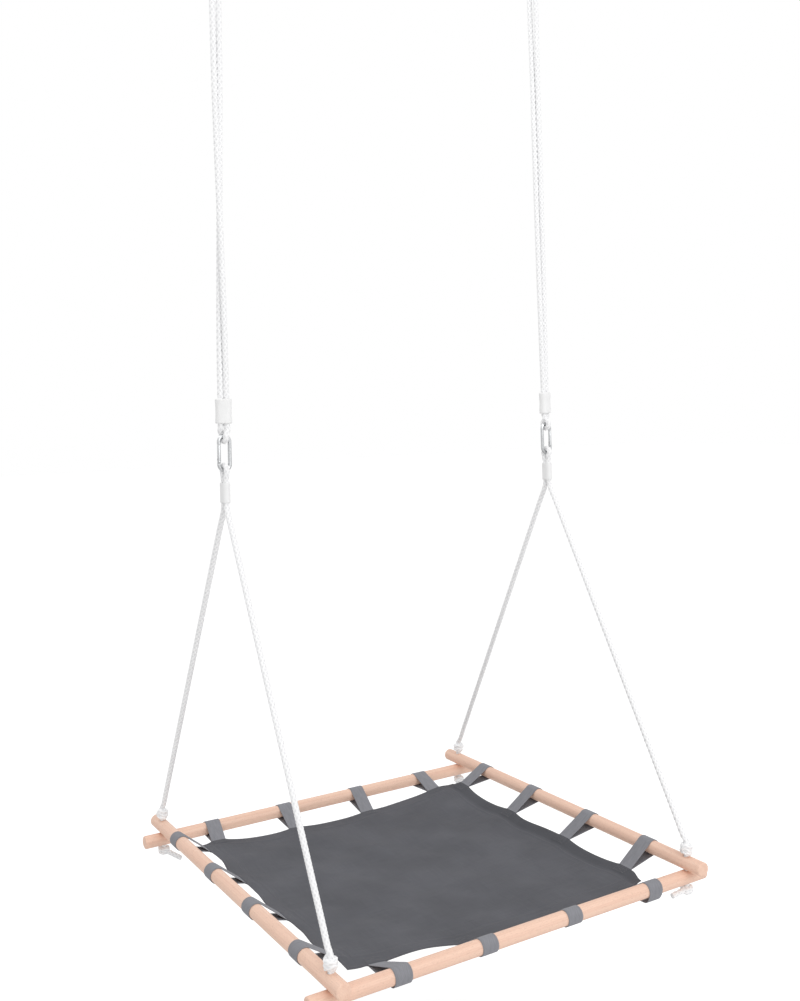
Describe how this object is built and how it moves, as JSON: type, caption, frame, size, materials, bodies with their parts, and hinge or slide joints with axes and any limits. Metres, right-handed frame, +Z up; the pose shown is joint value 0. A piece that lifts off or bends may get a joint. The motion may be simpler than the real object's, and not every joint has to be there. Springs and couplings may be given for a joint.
{
  "type": "platform swing",
  "caption": "Hanging platform swing: a square fabric mat held by webbing loops in a frame of crossed wooden poles, hung on rope bridles, snap hooks and rope hangers.",
  "frame": {"origin": "midway between the inner seats of the upper snap hooks, where the swing hangs", "axes": "+Z up, +X from the left pole to the right pole along the hang line, +Y from the front pole to the back pole"},
  "size_m": [1, 1, 2.3154],
  "materials": {
    "pale_beech": "sanded, clear matt varnish",
    "grey_canvas": "plain woven canvas",
    "grey_webbing": "woven webbing",
    "white_rope": "braided rope",
    "white_plastic": "moulded",
    "zinc_steel": "zinc plated"
  },
  "bodies": {
    "hang_hooks": {"left_upper_hook": "zinc_steel", "left_upper_gate_rivet": "zinc_steel", "right_upper_hook": "zinc_steel", "right_upper_gate_rivet": "zinc_steel"},
    "hangers": {"left_hanger_rope": "white_rope", "right_hanger_rope": "white_rope", "left_hanger_clamp": "white_plastic", "right_hanger_clamp": "white_plastic"},
    "left_link": {"left_lower_hook": "zinc_steel", "left_lower_gate_rivet": "zinc_steel"},
    "right_link": {"right_lower_hook": "zinc_steel", "right_lower_gate_rivet": "zinc_steel"},
    "platform": {"left_pole": "pale_beech", "right_pole": "pale_beech", "front_pole": "pale_beech", "back_pole": "pale_beech", "mat": "grey_canvas", "left_loop_1": "grey_webbing", "left_loop_2": "grey_webbing", "left_loop_3": "grey_webbing", "left_loop_4": "grey_webbing", "front_loop_1": "grey_webbing", "front_loop_2": "grey_webbing", "front_loop_3": "grey_webbing", "front_loop_4": "grey_webbing", "right_loop_1": "grey_webbing", "right_loop_2": "grey_webbing", "right_loop_3": "grey_webbing", "right_loop_4": "grey_webbing", "back_loop_1": "grey_webbing", "back_loop_2": "grey_webbing", "back_loop_3": "grey_webbing", "back_loop_4": "grey_webbing", "left_bridle_rope": "white_rope", "right_bridle_rope": "white_rope", "left_front_upper_knot": "white_rope", "left_front_lower_knot": "white_rope", "left_back_upper_knot": "white_rope", "left_back_lower_knot": "white_rope", "right_front_upper_knot": "white_rope", "right_front_lower_knot": "white_rope", "right_back_upper_knot": "white_rope", "right_back_lower_knot": "white_rope", "left_bridle_sleeve": "white_plastic", "right_bridle_sleeve": "white_plastic"},
    "left_upper_gate": {"left_upper_gate": "zinc_steel", "left_upper_gate_spring": "zinc_steel"},
    "right_upper_gate": {"right_upper_gate": "zinc_steel", "right_upper_gate_spring": "zinc_steel"},
    "left_lower_gate": {"left_lower_gate": "zinc_steel", "left_lower_gate_spring": "zinc_steel"},
    "right_lower_gate": {"right_lower_gate": "zinc_steel", "right_lower_gate_spring": "zinc_steel"}
  },
  "joints": [
    {"name": "swing", "type": "hinge", "parent": "hang_hooks", "child": "hangers", "pos_m": [0, 0, -0.068], "axis": [1, 0, 0], "range_deg": [-45, 45]},
    {"name": "left_link_pivot", "type": "hinge", "parent": "hangers", "child": "left_link", "pos_m": [-0.43046, 0, -1.222], "axis": [1, 0, 0], "range_deg": [-20, 20]},
    {"name": "right_link_pivot", "type": "hinge", "parent": "hangers", "child": "right_link", "pos_m": [0.43046, 0, -1.222], "axis": [1, 0, 0], "range_deg": [-20, 20]},
    {"name": "platform_tilt", "type": "hinge", "parent": "left_link", "child": "platform", "pos_m": [0, 0, -1.294], "axis": [1, 0, 0], "range_deg": [-20, 20]},
    {"name": "left_upper_gate_hinge", "type": "hinge", "parent": "hang_hooks", "child": "left_upper_gate", "pos_m": [-0.41803, 0, -0.04955], "axis": [0, 1, 0], "range_deg": [0, 25], "stiffness_Nm_per_rad": 0.05, "springref_deg": -22.92},
    {"name": "right_upper_gate_hinge", "type": "hinge", "parent": "hang_hooks", "child": "right_upper_gate", "pos_m": [0.41803, 0, -0.04955], "axis": [0, -1, 0], "range_deg": [0, 25], "stiffness_Nm_per_rad": 0.05, "springref_deg": -22.92},
    {"name": "left_lower_gate_hinge", "type": "hinge", "parent": "left_link", "child": "left_lower_gate", "pos_m": [-0.44358, 0, -1.27555], "axis": [0, 1, 0], "range_deg": [0, 25], "stiffness_Nm_per_rad": 0.05, "springref_deg": -22.92},
    {"name": "right_lower_gate_hinge", "type": "hinge", "parent": "right_link", "child": "right_lower_gate", "pos_m": [0.44358, 0, -1.27555], "axis": [0, -1, 0], "range_deg": [0, 25], "stiffness_Nm_per_rad": 0.05, "springref_deg": -22.92}
  ],
  "couplings": [
    {"joint": "right_link_pivot", "follows": "left_link_pivot", "ratio": 1}
  ]
}
